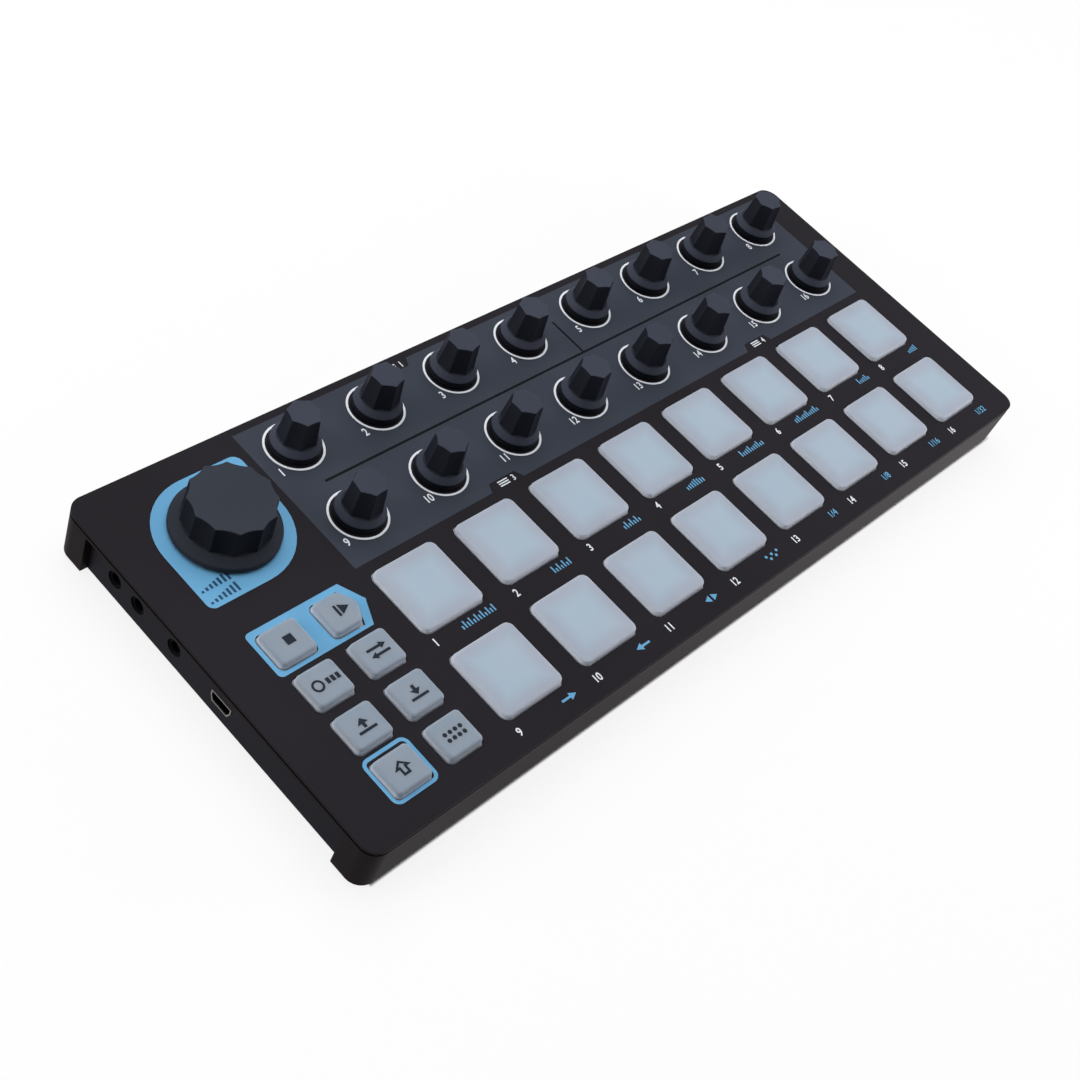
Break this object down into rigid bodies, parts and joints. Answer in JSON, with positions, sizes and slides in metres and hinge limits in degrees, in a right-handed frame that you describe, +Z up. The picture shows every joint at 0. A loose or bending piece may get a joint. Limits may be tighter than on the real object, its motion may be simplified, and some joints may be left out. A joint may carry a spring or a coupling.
{
  "type": "midi pad controller",
  "caption": "Flat table-top control surface with square silicone pads, fluted endless knobs, a large level knob, soft buttons and a recessed socket panel in its left end.",
  "frame": {"origin": "under the middle of the case, at the table that the feet stand on", "axes": "+X along the pad rows, away from the socket end; +Y to the back, past the knobs; +Z up"},
  "size_m": [0.311, 0.1234, 0.0323],
  "materials": {
    "panel": "satin, fine texture",
    "case": "satin, fine texture",
    "end_panel": "matte",
    "base": "satin",
    "foot_rubber": "matte",
    "screw": "satin",
    "board": "satin",
    "chip": "matte",
    "encoder": "satin",
    "baffle": "matte",
    "film": "satin",
    "led": "gloss",
    "contact": "satin",
    "jack": "gloss",
    "socket_metal": "bright",
    "level_knob": "soft-touch",
    "knob": "soft-touch",
    "pad": "matte silicone",
    "button": "matte silicone"
  },
  "bodies": {
    "case": {"top_plate": "panel", "case_frame": "case", "connector_plate": "end_panel", "base_plate": "base", "rubber_feet": "foot_rubber", "casing_screws": "screw", "main_board": "board", "io_board": "board", "board_parts": "chip", "board_screws": "screw", "encoder_bodies": "encoder", "encoder_bushings": "encoder", "pad_frame": "baffle", "pad_sensors": "film", "pad_leds": "led", "button_frame": "baffle", "button_contacts": "contact", "jack_sockets": "jack", "usb_socket": "socket_metal"},
    "level_knob": {"level_knob": "level_knob"},
    "knob_1": {"knob_1": "knob"},
    "knob_2": {"knob_2": "knob"},
    "knob_3": {"knob_3": "knob"},
    "knob_4": {"knob_4": "knob"},
    "knob_5": {"knob_5": "knob"},
    "knob_6": {"knob_6": "knob"},
    "knob_7": {"knob_7": "knob"},
    "knob_8": {"knob_8": "knob"},
    "knob_9": {"knob_9": "knob"},
    "knob_10": {"knob_10": "knob"},
    "knob_11": {"knob_11": "knob"},
    "knob_12": {"knob_12": "knob"},
    "knob_13": {"knob_13": "knob"},
    "knob_14": {"knob_14": "knob"},
    "knob_15": {"knob_15": "knob"},
    "knob_16": {"knob_16": "knob"},
    "pad_1": {"pad_1": "pad"},
    "pad_2": {"pad_2": "pad"},
    "pad_3": {"pad_3": "pad"},
    "pad_4": {"pad_4": "pad"},
    "pad_5": {"pad_5": "pad"},
    "pad_6": {"pad_6": "pad"},
    "pad_7": {"pad_7": "pad"},
    "pad_8": {"pad_8": "pad"},
    "pad_9": {"pad_9": "pad"},
    "pad_10": {"pad_10": "pad"},
    "pad_11": {"pad_11": "pad"},
    "pad_12": {"pad_12": "pad"},
    "pad_13": {"pad_13": "pad"},
    "pad_14": {"pad_14": "pad"},
    "pad_15": {"pad_15": "pad"},
    "pad_16": {"pad_16": "pad"},
    "stop_button": {"stop_button": "button"},
    "play_button": {"play_button": "button"},
    "mode_button": {"mode_button": "button"},
    "sync_button": {"sync_button": "button"},
    "recall_button": {"recall_button": "button"},
    "store_button": {"store_button": "button"},
    "shift_button": {"shift_button": "button"},
    "channel_button": {"channel_button": "button"}
  },
  "joints": [
    {"name": "knob_1_turn", "type": "hinge", "parent": "case", "child": "knob_1", "pos_m": [-0.0891, 0.0482, 0.0183], "axis": [0, 0, 1], "continuous": true},
    {"name": "knob_2_turn", "type": "hinge", "parent": "case", "child": "knob_2", "pos_m": [-0.05785, 0.0482, 0.0183], "axis": [0, 0, 1], "continuous": true},
    {"name": "knob_3_turn", "type": "hinge", "parent": "case", "child": "knob_3", "pos_m": [-0.0266, 0.0482, 0.0183], "axis": [0, 0, 1], "continuous": true},
    {"name": "knob_4_turn", "type": "hinge", "parent": "case", "child": "knob_4", "pos_m": [0.00465, 0.0482, 0.0183], "axis": [0, 0, 1], "continuous": true},
    {"name": "knob_5_turn", "type": "hinge", "parent": "case", "child": "knob_5", "pos_m": [0.0359, 0.0482, 0.0183], "axis": [0, 0, 1], "continuous": true},
    {"name": "knob_6_turn", "type": "hinge", "parent": "case", "child": "knob_6", "pos_m": [0.06715, 0.0482, 0.0183], "axis": [0, 0, 1], "continuous": true},
    {"name": "knob_7_turn", "type": "hinge", "parent": "case", "child": "knob_7", "pos_m": [0.0984, 0.0482, 0.0183], "axis": [0, 0, 1], "continuous": true},
    {"name": "knob_8_turn", "type": "hinge", "parent": "case", "child": "knob_8", "pos_m": [0.12965, 0.0482, 0.0183], "axis": [0, 0, 1], "continuous": true},
    {"name": "knob_9_turn", "type": "hinge", "parent": "case", "child": "knob_9", "pos_m": [-0.0891, 0.0202, 0.0183], "axis": [0, 0, 1], "continuous": true},
    {"name": "knob_10_turn", "type": "hinge", "parent": "case", "child": "knob_10", "pos_m": [-0.05785, 0.0202, 0.0183], "axis": [0, 0, 1], "continuous": true},
    {"name": "knob_11_turn", "type": "hinge", "parent": "case", "child": "knob_11", "pos_m": [-0.0266, 0.0202, 0.0183], "axis": [0, 0, 1], "continuous": true},
    {"name": "knob_12_turn", "type": "hinge", "parent": "case", "child": "knob_12", "pos_m": [0.00465, 0.0202, 0.0183], "axis": [0, 0, 1], "continuous": true},
    {"name": "knob_13_turn", "type": "hinge", "parent": "case", "child": "knob_13", "pos_m": [0.0359, 0.0202, 0.0183], "axis": [0, 0, 1], "continuous": true},
    {"name": "knob_14_turn", "type": "hinge", "parent": "case", "child": "knob_14", "pos_m": [0.06715, 0.0202, 0.0183], "axis": [0, 0, 1], "continuous": true},
    {"name": "knob_15_turn", "type": "hinge", "parent": "case", "child": "knob_15", "pos_m": [0.0984, 0.0202, 0.0183], "axis": [0, 0, 1], "continuous": true},
    {"name": "knob_16_turn", "type": "hinge", "parent": "case", "child": "knob_16", "pos_m": [0.12965, 0.0202, 0.0183], "axis": [0, 0, 1], "continuous": true},
    {"name": "level_knob_turn", "type": "hinge", "parent": "case", "child": "level_knob", "pos_m": [-0.1243, 0.0346, 0.0183], "axis": [0, 0, 1], "continuous": true},
    {"name": "pad_1_press", "type": "slide", "parent": "case", "child": "pad_1", "axis": [0, 0, 1], "range_m": [-0.001, 0], "stiffness_N_per_m": 1500, "springref_m": 0.0003},
    {"name": "pad_2_press", "type": "slide", "parent": "case", "child": "pad_2", "axis": [0, 0, 1], "range_m": [-0.001, 0], "stiffness_N_per_m": 1500, "springref_m": 0.0003},
    {"name": "pad_3_press", "type": "slide", "parent": "case", "child": "pad_3", "axis": [0, 0, 1], "range_m": [-0.001, 0], "stiffness_N_per_m": 1500, "springref_m": 0.0003},
    {"name": "pad_4_press", "type": "slide", "parent": "case", "child": "pad_4", "axis": [0, 0, 1], "range_m": [-0.001, 0], "stiffness_N_per_m": 1500, "springref_m": 0.0003},
    {"name": "pad_5_press", "type": "slide", "parent": "case", "child": "pad_5", "axis": [0, 0, 1], "range_m": [-0.001, 0], "stiffness_N_per_m": 1500, "springref_m": 0.0003},
    {"name": "pad_6_press", "type": "slide", "parent": "case", "child": "pad_6", "axis": [0, 0, 1], "range_m": [-0.001, 0], "stiffness_N_per_m": 1500, "springref_m": 0.0003},
    {"name": "pad_7_press", "type": "slide", "parent": "case", "child": "pad_7", "axis": [0, 0, 1], "range_m": [-0.001, 0], "stiffness_N_per_m": 1500, "springref_m": 0.0003},
    {"name": "pad_8_press", "type": "slide", "parent": "case", "child": "pad_8", "axis": [0, 0, 1], "range_m": [-0.001, 0], "stiffness_N_per_m": 1500, "springref_m": 0.0003},
    {"name": "pad_9_press", "type": "slide", "parent": "case", "child": "pad_9", "axis": [0, 0, 1], "range_m": [-0.001, 0], "stiffness_N_per_m": 1500, "springref_m": 0.0003},
    {"name": "pad_10_press", "type": "slide", "parent": "case", "child": "pad_10", "axis": [0, 0, 1], "range_m": [-0.001, 0], "stiffness_N_per_m": 1500, "springref_m": 0.0003},
    {"name": "pad_11_press", "type": "slide", "parent": "case", "child": "pad_11", "axis": [0, 0, 1], "range_m": [-0.001, 0], "stiffness_N_per_m": 1500, "springref_m": 0.0003},
    {"name": "pad_12_press", "type": "slide", "parent": "case", "child": "pad_12", "axis": [0, 0, 1], "range_m": [-0.001, 0], "stiffness_N_per_m": 1500, "springref_m": 0.0003},
    {"name": "pad_13_press", "type": "slide", "parent": "case", "child": "pad_13", "axis": [0, 0, 1], "range_m": [-0.001, 0], "stiffness_N_per_m": 1500, "springref_m": 0.0003},
    {"name": "pad_14_press", "type": "slide", "parent": "case", "child": "pad_14", "axis": [0, 0, 1], "range_m": [-0.001, 0], "stiffness_N_per_m": 1500, "springref_m": 0.0003},
    {"name": "pad_15_press", "type": "slide", "parent": "case", "child": "pad_15", "axis": [0, 0, 1], "range_m": [-0.001, 0], "stiffness_N_per_m": 1500, "springref_m": 0.0003},
    {"name": "pad_16_press", "type": "slide", "parent": "case", "child": "pad_16", "axis": [0, 0, 1], "range_m": [-0.001, 0], "stiffness_N_per_m": 1500, "springref_m": 0.0003},
    {"name": "stop_button_press", "type": "slide", "parent": "case", "child": "stop_button", "axis": [0, 0, 1], "range_m": [-0.001, 0], "stiffness_N_per_m": 1200, "springref_m": 0.0003},
    {"name": "play_button_press", "type": "slide", "parent": "case", "child": "play_button", "axis": [0, 0, 1], "range_m": [-0.001, 0], "stiffness_N_per_m": 1200, "springref_m": 0.0003},
    {"name": "mode_button_press", "type": "slide", "parent": "case", "child": "mode_button", "axis": [0, 0, 1], "range_m": [-0.001, 0], "stiffness_N_per_m": 1200, "springref_m": 0.0003},
    {"name": "sync_button_press", "type": "slide", "parent": "case", "child": "sync_button", "axis": [0, 0, 1], "range_m": [-0.001, 0], "stiffness_N_per_m": 1200, "springref_m": 0.0003},
    {"name": "recall_button_press", "type": "slide", "parent": "case", "child": "recall_button", "axis": [0, 0, 1], "range_m": [-0.001, 0], "stiffness_N_per_m": 1200, "springref_m": 0.0003},
    {"name": "store_button_press", "type": "slide", "parent": "case", "child": "store_button", "axis": [0, 0, 1], "range_m": [-0.001, 0], "stiffness_N_per_m": 1200, "springref_m": 0.0003},
    {"name": "shift_button_press", "type": "slide", "parent": "case", "child": "shift_button", "axis": [0, 0, 1], "range_m": [-0.001, 0], "stiffness_N_per_m": 1200, "springref_m": 0.0003},
    {"name": "channel_button_press", "type": "slide", "parent": "case", "child": "channel_button", "axis": [0, 0, 1], "range_m": [-0.001, 0], "stiffness_N_per_m": 1200, "springref_m": 0.0003}
  ]
}
